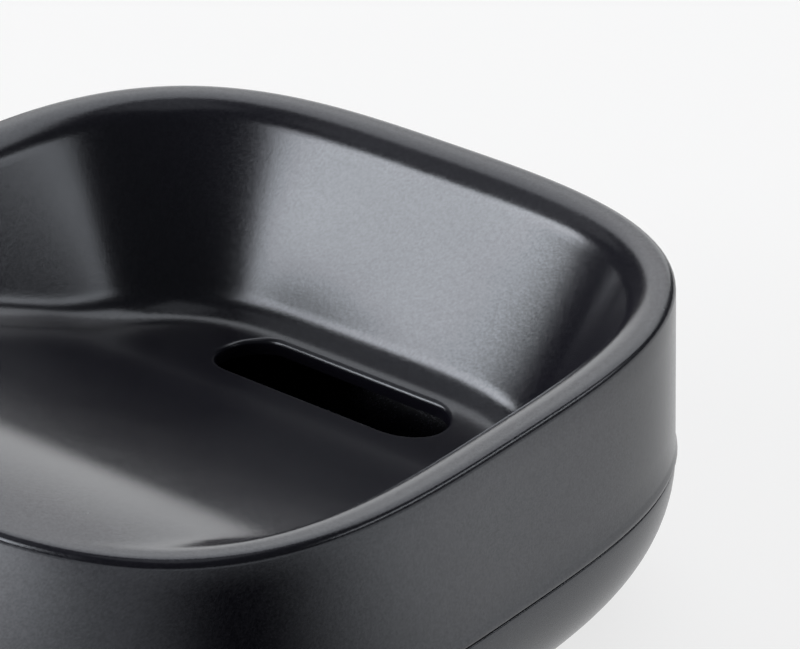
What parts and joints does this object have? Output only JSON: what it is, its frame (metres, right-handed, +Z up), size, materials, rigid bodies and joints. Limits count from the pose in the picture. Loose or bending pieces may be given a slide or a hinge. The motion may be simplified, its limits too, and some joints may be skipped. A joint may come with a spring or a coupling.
{
  "type": "soap dish",
  "caption": "Rounded-square soap dish: a lift-off tray with a bowl that slopes to a drain slot, on a drip base with soft foot pads.",
  "frame": {"origin": "on the table, under the middle of the dish", "axes": "+Z up; +Y towards the rear wall, beside which the drain slot lies; +X along the slot"},
  "size_m": [0.0984, 0.0984, 0.039],
  "materials": {
    "tray_plastic": "satin moulded, very fine texture",
    "base_plastic": "satin moulded, very fine texture",
    "foot_rubber": "matte soft rubber"
  },
  "bodies": {
    "base": {"drip_base": "base_plastic", "foot_pad_front_left": "foot_rubber", "foot_pad_front_right": "foot_rubber", "foot_pad_rear_left": "foot_rubber", "foot_pad_rear_right": "foot_rubber"},
    "tray": {"soap_tray": "tray_plastic"}
  },
  "joints": [
    {"name": "tray_lift", "type": "slide", "parent": "base", "child": "tray", "axis": [0, 0, 1], "range_m": [0, 0.04]}
  ]
}
